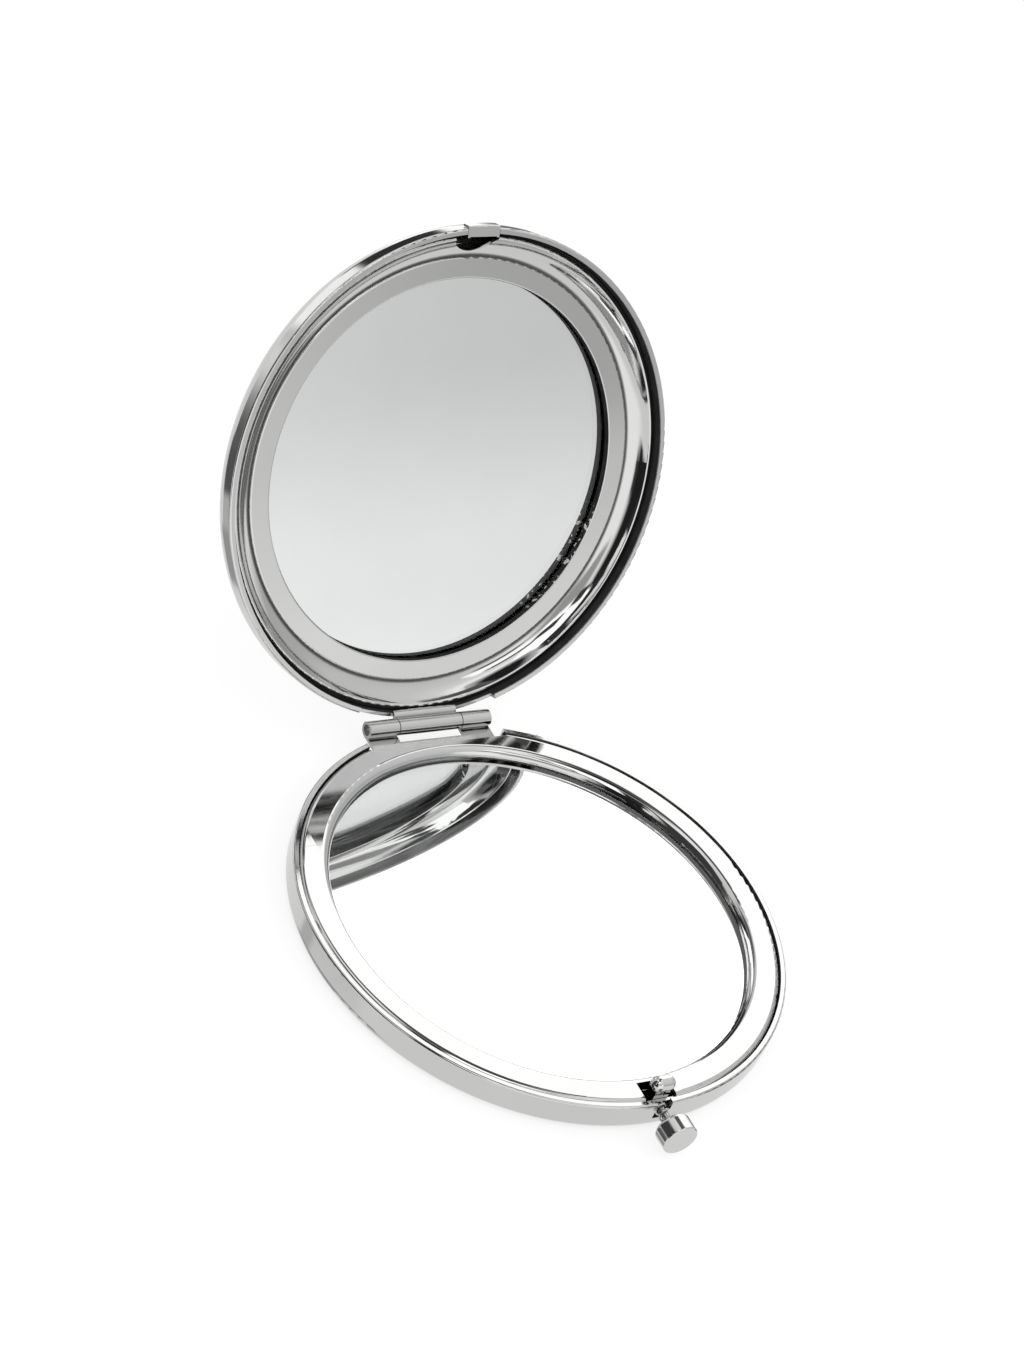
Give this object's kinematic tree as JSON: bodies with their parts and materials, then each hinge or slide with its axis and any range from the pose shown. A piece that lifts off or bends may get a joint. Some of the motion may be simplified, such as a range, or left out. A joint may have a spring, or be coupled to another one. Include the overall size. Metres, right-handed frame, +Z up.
{
  "type": "compact mirror",
  "caption": "Round folding pocket mirror in plated pressed steel: a mirror in each half, a pinned hinge at the back and a spring push-button latch at the front.",
  "frame": {"origin": "centre of the base half's flat underside", "axes": "+Z up out of the base half, +Y toward the hinge, -Y toward the push button, +X along the hinge pin"},
  "size_m": [0.066, 0.1023, 0.0651],
  "materials": {
    "shell_plate": "polished nickel plate on pressed steel",
    "bright_plate": "polished nickel plate on pressed sheet",
    "mirror_glass": "clear glass silvered on its back",
    "foam": "matte foam",
    "hinge_plate": "polished nickel plate",
    "pin_steel": "drawn steel wire",
    "tape": "matte adhesive foam",
    "latch_plate": "polished nickel plate",
    "spring_steel": "plated spring steel"
  },
  "bodies": {
    "base": {"base_shell": "shell_plate", "base_frame": "bright_plate", "base_mirror": "mirror_glass", "base_mirror_pad": "foam", "base_hinge_leaf": "hinge_plate", "hinge_pin": "pin_steel", "latch_guide": "spring_steel"},
    "lid": {"lid_shell": "shell_plate", "lid_frame": "bright_plate", "lid_mirror": "mirror_glass", "lid_mirror_tape": "tape", "lid_hinge_leaf": "hinge_plate", "lid_catch": "latch_plate"},
    "button": {"latch_knob": "latch_plate", "latch_stem": "pin_steel", "latch_hook": "latch_plate", "latch_spring": "spring_steel"}
  },
  "joints": [
    {"name": "lid_hinge", "type": "hinge", "parent": "base", "child": "lid", "pos_m": [0, 0.0336, 0.00415], "axis": [1, 0, 0], "range_deg": [0, 114]},
    {"name": "button_slide", "type": "slide", "parent": "base", "child": "button", "axis": [0, 1, 0], "range_m": [0, 0.001], "stiffness_N_per_m": 1500, "springref_m": -0.001, "deforming": ["latch_spring"]}
  ]
}
